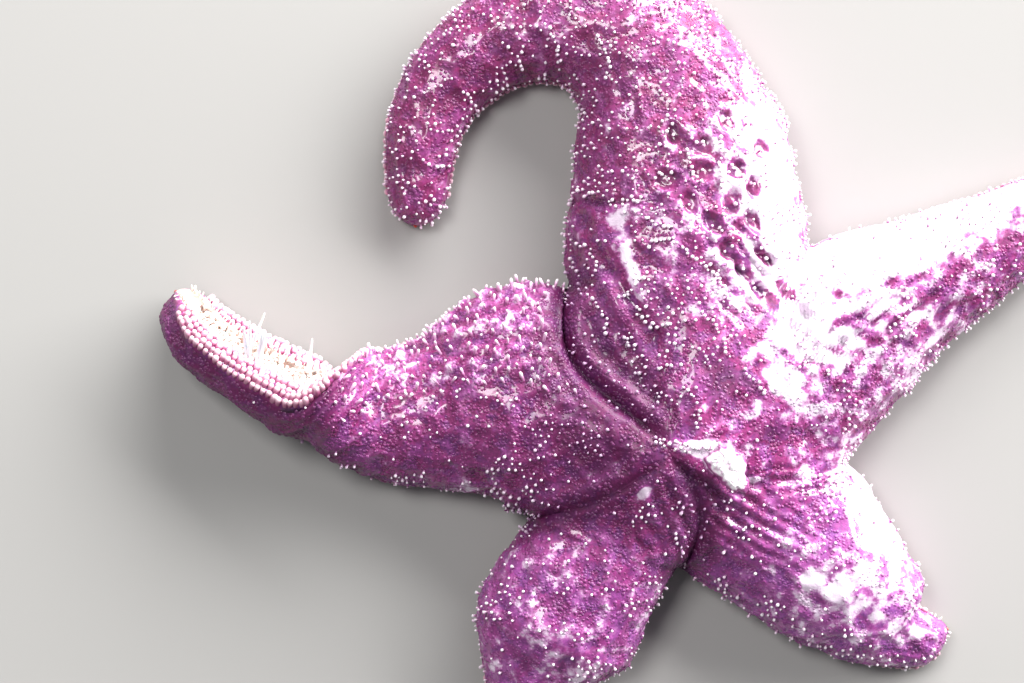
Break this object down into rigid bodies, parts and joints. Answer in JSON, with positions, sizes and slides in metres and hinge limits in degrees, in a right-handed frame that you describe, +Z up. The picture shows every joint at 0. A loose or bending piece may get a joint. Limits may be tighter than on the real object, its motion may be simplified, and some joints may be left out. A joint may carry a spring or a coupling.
{
  "type": "sea star",
  "caption": "Life-size sea star lying on its grooved underside, the longest arm hooked round and one arm's end rolled over to show its tube feet.",
  "frame": {"origin": "on the floor, under the centre of the mouth", "axes": "+Z up out of the aboral side, +Y along the base of the hooked arm, +X towards the right-hand arm's side"},
  "size_m": [0.2533, 0.2068, 0.0334],
  "materials": {
    "skin": "wet, knobbly",
    "plate": "chalky, finely grooved",
    "membrane": "wet"
  },
  "bodies": {
    "root": {"disc": "skin", "madreporite": "plate", "mouth": "membrane", "right_arm_middle": "skin", "right_arm_tip": "skin", "hooked_arm_shaft": "skin", "hooked_arm_bend": "skin", "hooked_arm_hook": "skin", "hooked_arm_tip": "skin", "left_arm_middle": "skin", "left_arm_rolled_length": "skin", "left_arm_tip": "skin", "lower_left_arm_middle": "skin", "lower_left_arm_tip": "skin", "lower_right_arm_middle": "skin", "lower_right_arm_tip": "skin"}
  },
  "joints": []
}
